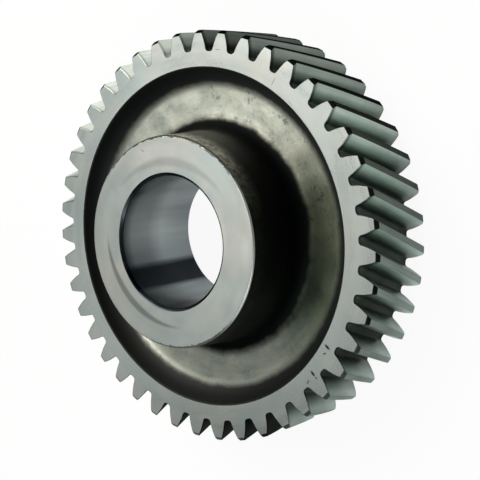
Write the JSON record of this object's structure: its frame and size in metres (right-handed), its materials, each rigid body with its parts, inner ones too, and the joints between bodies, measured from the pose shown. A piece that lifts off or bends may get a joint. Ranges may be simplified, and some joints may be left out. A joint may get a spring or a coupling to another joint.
{
  "type": "helical gear",
  "caption": "Right-hand helical gear with a narrow toothed rim, a dished forged web and a thick hub with a plain ground bore that stands out in front of the rim.",
  "frame": {"origin": "on the gear's axis, at the back face of the rim, on which it lies", "axes": "+Z along the bore's axis, towards the long end of the hub; +X to the right and +Y up on the front face"},
  "size_m": [0.192, 0.192, 0.063],
  "materials": {
    "gear": "satin ground faces, dark hobbed flanks and blasted forged web"
  },
  "bodies": {
    "root": {"gear": "gear"}
  },
  "joints": []
}
